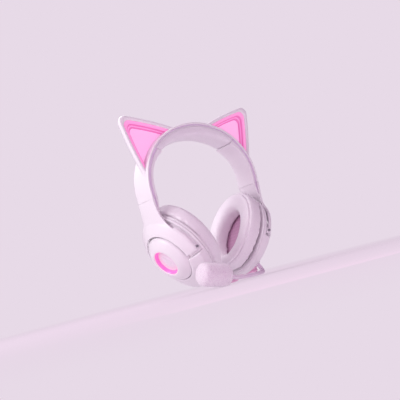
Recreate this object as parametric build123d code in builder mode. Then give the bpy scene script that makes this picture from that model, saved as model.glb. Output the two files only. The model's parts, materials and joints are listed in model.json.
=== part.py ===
from build123d import *
from math import asin, cos, degrees, radians, sin
import os

# Cat-ear gaming headset. Millimetres, +Z up, -Y is the front, +X is the wearer's left.
# The origin is on the table, midway between the two ear cups.

os.makedirs("parts", exist_ok=True)

# Headband arch: half an ellipse on top, longer half ellipses for the two legs
arch_half_width = 78.0
arch_rise = 69.0
arch_z = 120.0
leg_rise = 96.6
band_end_z = 108.0
band_half_depth = 15.0
shell_inner = 2.6
frame_inner = 5.4
liner_inner = 7.8
pad_half_width = 72.5
pad_rise = 52.8
pad_reach = 22.0
pad_half_depth = 14.9
pad_half_span = 52.0
lip_half_depth = 12.6
lip_gap = 0.2
liner_end_span = 76.0
spring_half_span = 61.0
spring_thickness = 0.8
spring_half_width = 8.0
liner_screw_start = (66.5, 139.0)
liner_screw_way = (0.936, 0.353)
liner_screw_spread = 18.0
liner_screw_length = 6.2
screw_radius = 1.0

# Cat ears
ear_front_y = -11.0
ear_tip = (93.3, 205.0)
ear_tip_radius = 5.5
ear_outer_base = (75.6, 137.2)
ear_inner_base = (28.0, 186.6)
ear_mid_base = (57.4, 167.5)
ear_rim_depth = 4.0
ear_back_depth = 11.0
ear_back_inset = 7.5
ear_rim = 2.3
ear_pocket_depth = 8.0
ear_pocket_inset = 6.4
glow_wall = 1.5
glow_play = 0.1
ear_board_play = 0.2
ear_board_thickness = 1.2
ear_board_space = 2.6

# Sliders that lengthen the headband
slider_tilt = 3.5
slider_start = (73.5, 95.5)
slider_length = 46.0
slider_width = 12.0
slider_thickness = 1.2
slider_play = 0.3
slider_notch = 1.6
slider_notch_length = 6.0
groove_depth = 3.0

# Ear cups: a plane through the joint of cushion and housing, tilted in at the bottom
cup_x = 46.5
cup_y = 4.0
cup_z = 51.2
cup_tilt = 29.8
ring_half_depth = 42.0
ring_half_height = 47.5
ring_drop = -2.5
flange_height = 3.0
shoulder_z = 9.5
collar_z = 18.0
collar_radius = 30.5
yoke_radius = 43.0
yoke_wall_drop = 3.0
yoke_end = -3.0
yoke_rim_low = 7.0
yoke_rim_flat = 8.1
arm_join_gap = 0.3
trim_depth = 1.5
trim_thickness = 1.4
lower_shell_top = -7.0
wall = 2.4
neck_z = 12.6
cap_radius = 28.5
cap_rim_z = 17.2
cap_top_z = 24.6
recess_radius = 16.7
recess_floor_z = 19.0
neck_hole_radius = 24.0
side_shell_radius = 38.4
board_radius = 25.6
board_thickness = 1.2
cup_screws_up = ((24, 29), (-24, 29))
cup_screws_low = ((20, -37), (-20, -37))
screw_post_radius = 2.5
screw_post_up = 4.2
screw_post_low = 7.0
screw_head_radius = 2.0
screw_head_height = 0.8

# Pivot between yoke and cup
pivot_z = 6.8
pivot_radius = 1.3
pivot_play = 0.05
pivot_boss_radius = 2.3
boss_start = 30.0
boss_end = 38.6
pivot_pin_start = 33.0
pivot_pin_end = 42.6
pivot_hole_length = 8.0
tab_inner = 39.2
tab_low_z = 4.2
tab_high_z = 8.6

# Cushion and speaker
plate_thickness = 1.9
plate_gap = 0.3
cushion_back_z = -3.2
cushion_face_z = -24.0
cushion_half_depth = 41.6
cushion_half_height = 49.2
cushion_center = 0.2
cushion_roundness = 8.0
opening_half_depth = 19.0
opening_half_height = 27.0
opening_center = -3.0
cloth_half_depth = 24.0
cloth_half_height = 32.0
cloth_back_z = -2.95
driver_radius = 20.3
driver_window = 17.5

# Controls on the left cup
wheel_radius = 8.5
wheel_thickness = 2.8
wheel_h = 33.6
wheel_u = -14.0
wheel_z = 7.0
wheel_bore = 1.55
wheel_grips = 36
encoder_radius = 3.9
button_angle = -52.0
button_z = 5.9
button_wall = 45.9
button_radius = 2.6
button_length = 6.2
button_proud = 1.2

# Microphone boom
socket_radius = 4.4
boom_stem_radius = 2.9
boom_radius = 2.2
bend_gap = 1.3
boom_gap = 3.7
mic_gap = 0.3
mic_radius = 6.0
mic_half_length = 10.5
foam_radius = 12.4
foam_half_length = 18.8
foam_corner = 10.0
socket_back = 5.0
socket_length = 7.4
stem_back = 3.8
stem_length = 6.8
mic_wall = 1.2
mic_pocket = 6.0

# Cable
cable_radius = 1.6
cable_gap = 0.3
relief_length = 11.5
relief_radius = 2.9
relief_tip_radius = 2.1
coil_radius = 27.0
coil_center = (78.0, 72.0)
coil_low_z = 2.9
coil_pitch = 3.5
coil_start_angle = 250
coil_end_angle = 1410
coil_step = 30
tie_turn = 560
tie_length = 14.0
plug_half_height = 3.7
plug_width = 15.0
plug_length = 24.0
contact_width = 12.0
contact_height = 4.5
contact_length = 11.9
contact_wall = 0.3

tilt_sin = sin(radians(cup_tilt))
tilt_cos = cos(radians(cup_tilt))
cup_origin = Vector(cup_x, cup_y, cup_z)
cup_normal = Vector(tilt_cos, 0, -tilt_sin)
cup_plane = Plane(origin=cup_origin, x_dir=(0, 1, 0), z_dir=cup_normal)
cup_section = Plane(origin=cup_origin, x_dir=(0, 1, 0), z_dir=(-tilt_sin, 0, -tilt_cos))
cup_axis = Axis(cup_origin, cup_normal)


def save(builder, name):
    """Label one finished piece and write its STEP file."""
    builder.part.label = name
    export_step(builder.part, f"parts/{name}.step")


def save_pair(builder, name):
    """Write a left piece and its mirror image on the right."""
    save(builder, f"left_{name}")
    with BuildPart() as right_copy:
        mirror(builder.part, about=Plane.YZ)
    save(right_copy, f"right_{name}")


def arch(outer_inset, inner_inset, end_z):
    """Face between two inset copies of the headband curve, with legs down to end_z."""
    drop = degrees(asin((arch_z - end_z) / leg_rise))
    leg_share = cos(radians(drop))
    with BuildSketch(Plane.XZ) as section:
        with BuildLine():
            for inset in (outer_inset, inner_inset):
                reach = arch_half_width - inset
                EllipticalCenterArc((0, arch_z), reach, arch_rise - inset, 0, arc_size=180)
                EllipticalCenterArc((0, arch_z), reach, leg_rise, -drop, arc_size=drop)
                EllipticalCenterArc((0, arch_z), reach, leg_rise, 180, arc_size=drop)
            for side in (-1, 1):
                outer_x = side * (arch_half_width - outer_inset) * leg_share
                inner_x = side * (arch_half_width - inner_inset) * leg_share
                Line((outer_x, end_z), (inner_x, end_z))
        make_face()
    return section.sketch


def cap_of_arch(outer_inset, inner_inset, half_span):
    """Face between two inset arches, kept within half_span degrees of the top."""
    reach = 2 * arch_half_width
    with BuildSketch(Plane.XZ) as section:
        with Locations((0, arch_z)):
            Ellipse(arch_half_width - outer_inset, arch_rise - outer_inset)
            Ellipse(arch_half_width - inner_inset, arch_rise - inner_inset, mode=Mode.SUBTRACT)
        with BuildLine():
            edge = (reach * sin(radians(half_span)), arch_z + reach * cos(radians(half_span)))
            Polyline((0, arch_z), edge, (edge[0], arch_z + reach), (-edge[0], arch_z + reach),
                     (-edge[0], edge[1]), close=True)
        make_face(mode=Mode.INTERSECT)
    return section.sketch


def cup_profile(points):
    """Closed (radius, height) profile in the cup's section plane."""
    with BuildSketch(cup_section) as section:
        with BuildLine():
            Polyline(*points, close=True)
        make_face()
    return section.sketch


def cup_ellipse(height, half_depth, half_height, drop):
    """Ellipse parallel to the cup's mating plane."""
    with BuildSketch(cup_plane.offset(height)) as section:
        with Locations((0, drop)):
            Ellipse(half_depth, half_height)
    return section.sketch


def cup_point(h, u, z):
    """World position of a point given by back, up and out distances on the left cup."""
    return cup_plane.from_local_coords(Vector(h, u, z))


def below_line(height):
    """Block that holds everything on the left cup below a line across it."""
    reach = 2 * arch_half_width
    with BuildPart() as block:
        with BuildSketch(cup_plane.offset(-reach / 4)):
            with Locations((0, height - reach / 2)):
                Rectangle(reach, reach)
        extrude(amount=reach / 2)
    return block.part


def cross_hole_plane(side, start):
    """Plane across the pivot line, start away from the cup's middle."""
    return Plane(origin=cup_point(side * start, 0, pivot_z), x_dir=cup_normal, z_dir=(0, side, 0))


# ---------------------------------------------------------------- sliders
slider_plane = Plane(
    origin=(slider_start[0], 0, slider_start[1]),
    x_dir=(0, 1, 0),
    z_dir=(-sin(radians(slider_tilt)), 0, cos(radians(slider_tilt))),
)

with BuildPart() as slider_strip:
    with BuildSketch(slider_plane):
        Rectangle(slider_width, slider_thickness)
    extrude(amount=slider_length)
    with BuildSketch(slider_plane.offset(slider_length)):
        with GridLocations(slider_width, 1, 2, 1):
            Rectangle(slider_notch, slider_thickness)
    extrude(amount=-slider_notch_length, mode=Mode.SUBTRACT)

with BuildPart() as slider_slot:
    with BuildSketch(slider_plane):
        Rectangle(slider_width + 2 * slider_play, slider_thickness + 2 * slider_play)
    extrude(amount=slider_length + 1)
    mirror(about=Plane.YZ)

save_pair(slider_strip, "slider_strip")

# ---------------------------------------------------------------- headband
with BuildPart() as liner_screws:
    for side in (-1, 1):
        screw_start = (side * liner_screw_start[0], 0, liner_screw_start[1])
        with BuildSketch(Plane(origin=screw_start, x_dir=(0, 1, 0),
                               z_dir=(side * liner_screw_way[0], 0, liner_screw_way[1]))):
            with GridLocations(liner_screw_spread, 1, 2, 1):
                Circle(screw_radius)
        extrude(amount=liner_screw_length)
save(liner_screws, "liner_screws")

with BuildPart() as headband_shell:
    extrude(arch(0, shell_inner, band_end_z), amount=band_half_depth, both=True)
    add(slider_slot.part, mode=Mode.SUBTRACT)
    add(liner_screws.part, mode=Mode.SUBTRACT)
save(headband_shell, "headband_shell")

with BuildPart() as band_spring:
    extrude(cap_of_arch(shell_inner + 0.1, shell_inner + 0.1 + spring_thickness, spring_half_span),
            amount=spring_half_width, both=True)
save(band_spring, "band_spring")

# Space that the pad's front and back lips take beside the frame and liner
with BuildPart() as lip_space:
    extrude(cap_of_arch(shell_inner, pad_reach, pad_half_span + 0.3), amount=band_half_depth + 1,
            both=True)
    extrude(cap_of_arch(0, 2 * pad_reach, pad_half_span + 3), amount=lip_half_depth, both=True,
            mode=Mode.SUBTRACT)

with BuildPart() as headband_frame:
    extrude(arch(shell_inner, frame_inner, band_end_z), amount=band_half_depth - 1.5, both=True)
    extrude(cap_of_arch(shell_inner - 0.1, shell_inner + spring_thickness + 0.3, spring_half_span + 1),
            amount=spring_half_width + 0.3, both=True, mode=Mode.SUBTRACT)
    add(slider_slot.part, mode=Mode.SUBTRACT)
    add(liner_screws.part, mode=Mode.SUBTRACT)
    add(lip_space.part, mode=Mode.SUBTRACT)
save(headband_frame, "headband_frame")

with BuildSketch(Plane.XZ) as pad_opening:
    with Locations((0, arch_z)):
        Ellipse(pad_half_width, pad_rise)

# Wedges of the liner that meet both ends of the pad and thin out down the legs
with BuildPart() as liner_ends:
    extrude(cap_of_arch(liner_inner - 0.3, pad_reach, liner_end_span), amount=band_half_depth - 0.3,
            both=True)
    extrude(pad_opening.sketch, amount=band_half_depth, both=True, mode=Mode.SUBTRACT)
    extrude(cap_of_arch(0, 2 * pad_reach, pad_half_span + 0.3), amount=band_half_depth, both=True,
            mode=Mode.SUBTRACT)

with BuildPart() as headband_liner:
    extrude(arch(frame_inner, liner_inner, band_end_z), amount=band_half_depth - 0.3, both=True)
    add(liner_ends.part)
    add(slider_slot.part, mode=Mode.SUBTRACT)
    add(liner_screws.part, mode=Mode.SUBTRACT)
    add(lip_space.part, mode=Mode.SUBTRACT)
save(headband_liner, "headband_liner")

with BuildPart() as top_cushion:
    extrude(cap_of_arch(shell_inner + lip_gap, pad_reach, pad_half_span), amount=pad_half_depth,
            both=True)
    extrude(cap_of_arch(0, liner_inner + lip_gap, pad_half_span + 5), amount=lip_half_depth + lip_gap,
            both=True, mode=Mode.SUBTRACT)
    extrude(pad_opening.sketch, amount=band_half_depth, both=True, mode=Mode.SUBTRACT)
save(top_cushion, "top_cushion")

# ---------------------------------------------------------------- ears
# The ears are drawn from behind, so their X runs the other way
ear_plane = Plane(origin=(0, ear_front_y, 0), x_dir=(-1, 0, 0), z_dir=(0, 1, 0))
ear_center = (-67.5, 178.5)
ear_in_radius = 15.8


def ear_corner(place):
    """Corner of the ear relative to its centre, seen from behind."""
    return (-place[0] - ear_center[0], place[1] - ear_center[1])


def ear_outline():
    """Rounded triangle whose base follows the arch, drawn about the ear's centre."""
    with BuildSketch() as outline:
        with BuildLine():
            outer_base, tip, inner_base = map(ear_corner, (ear_outer_base, ear_tip, ear_inner_base))
            SagittaArc(outer_base, tip, 1.6)
            SagittaArc(tip, inner_base, 1.8)
            ThreePointArc(inner_base, ear_corner(ear_mid_base), outer_base)
        make_face()
        fillet(outline.vertices().sort_by(Axis.Y)[-1], ear_tip_radius)
    return outline.sketch


def ear_layer(depth, thickness, front_inset, back_inset):
    """Slab of the ear that starts depth behind its front rim and narrows toward the back."""
    with BuildPart() as slab:
        for height, inset in ((depth, front_inset), (depth + thickness, back_inset)):
            with BuildSketch(ear_plane.offset(height)):
                with Locations(ear_center):
                    add(scale(ear_outline(), by=1 - inset / ear_in_radius, mode=Mode.PRIVATE))
        loft()
    return slab.part


with BuildPart() as ear_shell:
    add(ear_layer(0, ear_rim_depth, 0, 0))
    add(ear_layer(ear_rim_depth, ear_back_depth, 0, ear_back_inset))
    add(ear_layer(0, ear_pocket_depth, ear_rim, ear_pocket_inset), mode=Mode.SUBTRACT)
    add(ear_layer(ear_pocket_depth, ear_board_space, ear_pocket_inset + 1.0, ear_pocket_inset + 1.0),
        mode=Mode.SUBTRACT)
    extrude(arch(0, arch_half_width / 2, band_end_z), amount=band_half_depth, both=True,
            mode=Mode.SUBTRACT)
save_pair(ear_shell, "ear_shell")

glow_outer = ear_rim + glow_play
glow_back = ear_pocket_inset + glow_play
with BuildPart() as ear_glow_panel:
    add(ear_layer(0, ear_pocket_depth, glow_outer, glow_back))
    add(ear_layer(0, ear_pocket_depth - glow_wall, glow_outer + glow_wall, glow_back),
        mode=Mode.SUBTRACT)
save_pair(ear_glow_panel, "ear_glow_panel")

with BuildPart() as ear_light_board:
    board_inset = ear_pocket_inset + 1.4
    add(ear_layer(ear_pocket_depth + ear_board_play, ear_board_thickness, board_inset, board_inset))
save_pair(ear_light_board, "ear_light_board")

# ---------------------------------------------------------------- yokes
arm_top_z = band_end_z - arm_join_gap

with BuildPart() as yoke_shell:
    revolve(cup_profile([(collar_radius, collar_z), (yoke_radius, shoulder_z),
                         (yoke_radius, yoke_rim_low), (yoke_radius - wall, yoke_rim_low),
                         (yoke_radius - wall, yoke_rim_flat), (collar_radius, collar_z - yoke_wall_drop)]),
            axis=cup_axis)
    add(below_line(yoke_end), mode=Mode.SUBTRACT)
    with BuildSketch(Plane.XZ):
        with BuildLine():
            outer_arm = Spline((77.35, arm_top_z), (76.9, 98), (77.2, 88), (77.7, 79), (77.2, 69.5))
            inner_arm = Spline((75.6, 70.5), (75.3, 80), (74.8, 86), (73.7, 90.5), (71.8, 95.5),
                               (70.2, 101), (69.6, arm_top_z))
            Line(outer_arm @ 0, inner_arm @ 1)
            Line(outer_arm @ 1, inner_arm @ 0)
        make_face()
    extrude(amount=band_half_depth, both=True)
    for side in (-1, 1):
        with BuildSketch(Plane.XZ.offset(side * band_half_depth)):
            with BuildLine():
                Polyline((74.8, arm_top_z), (74.4, 98), (75.1, 88.5), (73.4, 96), (72.2, arm_top_z),
                         close=True)
            make_face()
        extrude(amount=-side * groove_depth, mode=Mode.SUBTRACT)
        with BuildSketch(Plane(origin=cup_point(side * tab_inner, 0, 0), x_dir=cup_plane.y_dir,
                               z_dir=(0, side, 0))):
            with BuildLine():
                Polyline((yoke_end, side * tab_low_z), (-yoke_end, side * tab_low_z),
                         (-yoke_end, side * tab_high_z), (yoke_end, side * tab_high_z), close=True)
            make_face()
        extrude(amount=yoke_radius - tab_inner)
    add(slider_strip.part, mode=Mode.SUBTRACT)
    for side in (-1, 1):
        with BuildSketch(cross_hole_plane(side, tab_inner)):
            Circle(pivot_radius)
        extrude(amount=pivot_pin_end - tab_inner, mode=Mode.SUBTRACT)
save_pair(yoke_shell, "yoke_shell")

with BuildPart() as yoke_trim:
    for side in (-1, 1):
        with BuildSketch(Plane.XZ.offset(side * (band_half_depth - trim_depth))):
            with BuildLine():
                Polyline((74.7, arm_top_z), (74.3, 98), (74.7, 91.5), (73.6, 96), (72.3, arm_top_z),
                         close=True)
            make_face()
        extrude(amount=-side * trim_thickness)
save_pair(yoke_trim, "yoke_trim")

with BuildPart() as pivot_pins:
    for side in (-1, 1):
        with BuildSketch(cross_hole_plane(side, pivot_pin_start)):
            Circle(pivot_radius)
        extrude(amount=pivot_pin_end - pivot_pin_start)
save_pair(pivot_pins, "pivot_pins")

# ---------------------------------------------------------------- cup housings
# Cutter that clears the upper half of a housing for the yoke's swing
with BuildPart() as yoke_clearance:
    with BuildSketch(cup_plane.offset(flange_height)):
        Rectangle(160, 160)
    extrude(amount=30)
    revolve(cup_profile([(0, flange_height - 1), (side_shell_radius, flange_height - 1),
                         (side_shell_radius, 5.2), (cap_radius + 0.8, neck_z), (0, neck_z)]),
            axis=cup_axis, mode=Mode.SUBTRACT)
    for side in (-1, 1):
        with BuildSketch(cross_hole_plane(side, boss_start)):
            Circle(pivot_boss_radius)
        extrude(amount=boss_end - boss_start, mode=Mode.SUBTRACT)
    add(below_line(lower_shell_top), mode=Mode.SUBTRACT)

# Hollow inside the lower half of a housing
with BuildPart() as lower_hollow:
    cavity_depth = ring_half_depth - wall - 0.2
    cavity_height = ring_half_height - wall - 0.2
    extrude(cup_ellipse(-1, cavity_depth, cavity_height, ring_drop), amount=flange_height + 1)
    loft([cup_ellipse(flange_height, cavity_depth, cavity_height, ring_drop),
          cup_ellipse(7.5, cavity_depth - 0.6, cavity_height - 2.0, ring_drop + 0.9)])
    loft([cup_ellipse(7.5, cavity_depth - 0.6, cavity_height - 2.0, ring_drop + 0.9),
          cup_ellipse(11.0, 31, 31, 0)])
    add(below_line(lower_shell_top - wall), mode=Mode.INTERSECT)

with BuildPart() as cup_housing:
    extrude(cup_ellipse(0, ring_half_depth, ring_half_height, ring_drop), amount=flange_height)
    loft([cup_ellipse(flange_height, ring_half_depth, ring_half_height, ring_drop),
          cup_ellipse(shoulder_z, ring_half_depth - 0.4, ring_half_height - 1.8, ring_drop + 0.9)])
    loft([cup_ellipse(shoulder_z, ring_half_depth - 0.4, ring_half_height - 1.8, ring_drop + 0.9),
          cup_ellipse(collar_z, collar_radius, collar_radius, 0)])
    add(yoke_clearance.part, mode=Mode.SUBTRACT)
    revolve(cup_profile([(0, -1), (35.6, -1), (35.6, 3.6), (27.0, 9.9), (neck_hole_radius, 9.9),
                         (neck_hole_radius, neck_z), (cap_radius + 0.3, neck_z),
                         (cap_radius + 0.3, 30), (0, 30)]),
            axis=cup_axis, mode=Mode.SUBTRACT)
    add(lower_hollow.part, mode=Mode.SUBTRACT)
    for places, top in ((cup_screws_up, screw_post_up), (cup_screws_low, screw_post_low)):
        with BuildSketch(cup_plane):
            with Locations(*places):
                Circle(screw_post_radius)
        extrude(amount=top)
        with BuildSketch(cup_plane):
            with Locations(*places):
                Circle(screw_radius)
        extrude(amount=top - 0.8, mode=Mode.SUBTRACT)
    for side in (-1, 1):
        with BuildSketch(cross_hole_plane(side, pivot_pin_start - 0.3)):
            Circle(pivot_radius + pivot_play)
        extrude(amount=pivot_hole_length, mode=Mode.SUBTRACT)

with BuildPart() as right_cup_housing:
    mirror(cup_housing.part, about=Plane.YZ)
save(right_cup_housing, "right_cup_housing")

# ---------------------------------------------------------------- controls on the left cup
wheel_center = (wheel_h, wheel_u)
wheel_low = wheel_z - wheel_thickness / 2

with BuildPart() as volume_wheel:
    with BuildSketch(cup_plane.offset(wheel_low)):
        with Locations(wheel_center):
            Circle(wheel_radius)
            with PolarLocations(wheel_radius + 0.15, wheel_grips):
                Circle(0.35, mode=Mode.SUBTRACT)
            Circle(wheel_bore, mode=Mode.SUBTRACT)
    extrude(amount=wheel_thickness)
save(volume_wheel, "volume_wheel")

with BuildPart() as volume_encoder:
    for start, radius, height in ((0.3, encoder_radius, wheel_low - 0.7),
                                  (wheel_low - 0.5, wheel_bore - 0.05, wheel_thickness + 1)):
        with BuildSketch(cup_plane.offset(start)):
            with Locations(wheel_center):
                Circle(radius)
        extrude(amount=height)
save(volume_encoder, "volume_encoder")

button_direction = cup_plane.x_dir * cos(radians(button_angle)) + cup_plane.y_dir * sin(radians(button_angle))
button_plane = Plane(
    origin=cup_point(0, 0, button_z) + button_direction * (button_wall - button_length + button_proud),
    x_dir=cup_normal, z_dir=button_direction)

with BuildPart() as mute_button:
    with BuildSketch(button_plane):
        Circle(button_radius)
    extrude(amount=button_length)
    chamfer(mute_button.faces().sort_by(Axis((0, 0, 0), button_direction))[-1].edges(), 0.5)
save(mute_button, "mute_button")

# ---------------------------------------------------------------- microphone
boom_root = cup_point(-17, -33, 13.5)
boom_out = Vector(0.470, -0.258, -0.846).normalized()
socket_plane = Plane(origin=boom_root, x_dir=(0, 1, 0), z_dir=boom_out)
boom_bend = Vector(2.0, -41.0, 4.4)
boom_run = Vector(-0.97, -0.23, 0.05).normalized()
mic_axis = Vector(-0.955, 0.05, 0.25).normalized()
mic_center = Vector(-47.5, -47.5, 14.2)

with BuildPart() as boom_socket:
    with BuildSketch(socket_plane.offset(-socket_back)):
        Circle(socket_radius)
    extrude(amount=socket_length)
    with BuildSketch(socket_plane.offset(-stem_back - 0.2)):
        Circle(boom_stem_radius + 0.05)
    extrude(amount=socket_length, mode=Mode.SUBTRACT)
save(boom_socket, "boom_socket")

with BuildPart() as boom_stem:
    with BuildSketch(socket_plane.offset(-stem_back)):
        Circle(boom_stem_radius)
    extrude(amount=stem_length)
save(boom_stem, "boom_stem")

boom_start = boom_root + boom_out * boom_gap
lower_end = boom_bend - boom_run * bend_gap
with BuildPart() as lower_gooseneck:
    with BuildLine() as lower_path:
        Spline(boom_start, boom_start + boom_out * 2, (44.6, -16.8, 7.2), (41.0, -22.0, 4.3),
               (31.5, -29.0, 3.9), (17.0, -36.0, 3.9), lower_end - boom_run * 2, lower_end)
    with BuildSketch(Plane(origin=lower_path.line @ 0, z_dir=lower_path.line % 0)):
        Circle(boom_radius)
    sweep(path=lower_path.line)
save(lower_gooseneck, "lower_gooseneck")

mic_back = mic_center - mic_axis * mic_half_length
upper_start = boom_bend + boom_run * bend_gap
with BuildPart() as upper_gooseneck:
    with BuildLine() as upper_path:
        Spline(upper_start, upper_start + boom_run * 2, (-16.0, -44.8, 5.6),
               mic_back - mic_axis * 2, mic_back - mic_axis * mic_gap)
    with BuildSketch(Plane(origin=upper_path.line @ 0, z_dir=upper_path.line % 0)):
        Circle(boom_radius)
    sweep(path=upper_path.line)
save(upper_gooseneck, "upper_gooseneck")

with BuildPart() as mic_body:
    with BuildSketch(Plane(origin=mic_back, z_dir=mic_axis)):
        Circle(mic_radius)
    extrude(amount=2 * mic_half_length)
    with BuildSketch(Plane(origin=mic_center + mic_axis * mic_half_length, z_dir=mic_axis)):
        Circle(mic_radius - mic_wall)
    extrude(amount=-mic_pocket, mode=Mode.SUBTRACT)
save(mic_body, "mic_body")

with BuildPart() as mic_element:
    element_start = mic_half_length - mic_pocket + 0.2
    with BuildSketch(Plane(origin=mic_center + mic_axis * element_start, z_dir=mic_axis)):
        Circle(mic_radius - mic_wall - 0.2)
    extrude(amount=4)
save(mic_element, "mic_element")

foam_section = Plane(origin=mic_center, x_dir=mic_axis, z_dir=mic_axis.cross(Vector(0, 0, 1)).normalized())
with BuildPart() as windscreen:
    with BuildSketch(foam_section):
        with Locations((0, foam_radius / 2)):
            half_profile = Rectangle(2 * foam_half_length, foam_radius)
        fillet(half_profile.vertices().group_by(Axis.Y)[-1], foam_corner)
    revolve(axis=Axis(mic_center, mic_axis))
    with BuildSketch(Plane(origin=mic_center - mic_axis * (foam_half_length + 1), z_dir=mic_axis)):
        Circle(mic_radius + 0.1)
    extrude(amount=foam_half_length + mic_half_length + 1.4, mode=Mode.SUBTRACT)
save(windscreen, "windscreen")

# ---------------------------------------------------------------- cable
cable_start = Vector(29.5, -3.0, 11.5)
cable_out = Vector(-0.42, 0.62, -0.66).normalized()
relief_tip = cable_start + cable_out * relief_length

with BuildPart() as strain_relief:
    with BuildSketch(Plane(origin=cable_start, z_dir=cable_out)):
        Circle(relief_radius)
    with BuildSketch(Plane(origin=relief_tip, z_dir=cable_out)):
        Circle(relief_tip_radius)
    loft()
save(strain_relief, "strain_relief")


def coil_point(angle, height):
    """Point on the cable coil at an angle in degrees."""
    return (coil_center[0] + coil_radius * cos(radians(angle)),
            coil_center[1] + coil_radius * sin(radians(angle)), height)


coil_count = (coil_end_angle - coil_start_angle) // coil_step
coil_points = [coil_point(coil_start_angle + coil_step * i, coil_low_z + coil_pitch * coil_step * i / 360)
               for i in range(coil_count + 1)]
plug_start = Vector(111.5, 84.0, plug_half_height + 0.2)
plug_out = Vector(0.30, 0.954, 0).normalized()

with BuildPart() as cable:
    with BuildLine() as cable_path:
        Spline(relief_tip + cable_out * cable_gap, relief_tip + cable_out * (cable_gap + 1),
               (22.6, 8.2, 2.0), (21.0, 15.0, 1.8), (23.5, 27.0, 1.8),
               (33, 38, 1.8), (49, 45.2, 2.2), *coil_points, (107.4, 70.5, 9.0),
               plug_start - plug_out * 2, plug_start)
    with BuildSketch(Plane(origin=cable_path.line @ 0, z_dir=cable_path.line % 0)):
        Circle(cable_radius)
    sweep(path=cable_path.line)
save(cable, "cable")

with BuildPart() as cable_tie:
    tie_place = coil_point(90, coil_low_z + coil_pitch * tie_turn / 360)
    with BuildSketch(Plane(origin=tie_place, x_dir=(0, 1, 0), z_dir=(-1, 0, 0)).offset(-tie_length / 2)):
        RectangleRounded(7.8, 3 * coil_pitch + 2.4, 1.4)
        RectangleRounded(5.8, 3 * coil_pitch + 0.4, 0.8, mode=Mode.SUBTRACT)
    extrude(amount=tie_length)
save(cable_tie, "cable_tie")

plug_plane = Plane(origin=plug_start, x_dir=plug_out.cross(Vector(0, 0, 1)), z_dir=plug_out)
with BuildPart() as usb_plug_grip:
    with BuildSketch(plug_plane.offset(cable_gap)):
        RectangleRounded(plug_width, 2 * plug_half_height, 2.2)
    extrude(amount=plug_length - cable_gap)
save(usb_plug_grip, "usb_plug_grip")

with BuildPart() as usb_plug_contact:
    inner_width = contact_width - 2 * contact_wall
    with BuildSketch(plug_plane.offset(plug_length + 0.05)):
        Rectangle(contact_width, contact_height)
    extrude(amount=contact_length)
    with BuildSketch(plug_plane.offset(plug_length + 12)):
        Rectangle(inner_width, contact_height - 2 * contact_wall)
    extrude(amount=-10, mode=Mode.SUBTRACT)
    with BuildSketch(plug_plane.offset(plug_length + 1)):
        with Locations((0, 0.9)):
            Rectangle(inner_width, 1.8)
    extrude(amount=10)
save(usb_plug_contact, "usb_plug_contact")

# ---------------------------------------------------------------- left housing, cut for its fittings
with BuildPart() as left_cup_housing:
    add(cup_housing.part)
    with BuildSketch(cup_plane.offset(wheel_low - 0.4)):
        with Locations(wheel_center):
            Circle(wheel_radius + 0.4)
    extrude(amount=wheel_thickness + 0.8, mode=Mode.SUBTRACT)
    with BuildSketch(cup_plane):
        with Locations(wheel_center):
            Circle(encoder_radius + 0.1)
    extrude(amount=wheel_thickness + 7.4, mode=Mode.SUBTRACT)
    with BuildSketch(button_plane.offset(-2)):
        Circle(button_radius + 0.1)
    extrude(amount=button_length + 4, mode=Mode.SUBTRACT)
    with BuildSketch(socket_plane.offset(-socket_back)):
        Circle(socket_radius)
    extrude(amount=socket_length + 1.6, mode=Mode.SUBTRACT)
    add(strain_relief.part, mode=Mode.SUBTRACT)
save(left_cup_housing, "left_cup_housing")

# ---------------------------------------------------------------- cap and light
with BuildPart() as cup_cap:
    revolve(cup_profile([(cap_radius, neck_z + 0.1), (cap_radius, cap_rim_z), (27.5, 19.0), (24.8, 21.3),
                         (21.3, 23.3), (17.8, cap_top_z), (recess_radius, cap_top_z - 0.4),
                         (recess_radius, recess_floor_z - 0.2), (18.6, recess_floor_z - 0.2),
                         (18.6, 21.2), (22.0, 19.9), (25.6, 17.2), (26.2, 15.5), (26.2, neck_z + 0.1)]),
            axis=cup_axis)
save_pair(cup_cap, "cup_cap")

with BuildPart() as light_ring:
    revolve(cup_profile([(recess_radius - 0.1, recess_floor_z), (recess_radius - 0.1, cap_top_z - 0.8),
                         (recess_radius - 1.3, cap_top_z - 1.2), (recess_radius - 1.3, recess_floor_z)]),
            axis=cup_axis)
save_pair(light_ring, "light_ring")

with BuildPart() as center_disc:
    revolve(cup_profile([(0, recess_floor_z), (recess_radius - 1.4, recess_floor_z),
                         (recess_radius - 1.4, recess_floor_z + 1.4), (0, recess_floor_z + 1.9)]),
            axis=cup_axis)
save_pair(center_disc, "center_disc")

with BuildPart() as control_board:
    board_z = neck_z + 0.1
    revolve(cup_profile([(0, board_z), (board_radius, board_z), (board_radius, board_z + board_thickness),
                         (0, board_z + board_thickness)]), axis=cup_axis)
save_pair(control_board, "control_board")

# ---------------------------------------------------------------- speaker
with BuildPart() as speaker_plate:
    extrude(cup_ellipse(-plate_gap - plate_thickness, ring_half_depth + 0.4, ring_half_height + 0.4,
                        ring_drop), amount=plate_thickness)
    with BuildSketch(cup_plane):
        Circle(driver_window)
    extrude(amount=-4, mode=Mode.SUBTRACT)
    with BuildSketch(cup_plane):
        with Locations(*cup_screws_up, *cup_screws_low):
            Circle(screw_radius + 0.1)
    extrude(amount=-4, mode=Mode.SUBTRACT)
    with BuildSketch(cup_plane.offset(-plate_gap - plate_thickness)):
        with Locations(*cup_screws_up, *cup_screws_low):
            Circle(screw_head_radius + 0.1)
    extrude(amount=screw_head_height + 0.1, mode=Mode.SUBTRACT)
save_pair(speaker_plate, "speaker_plate")

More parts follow.
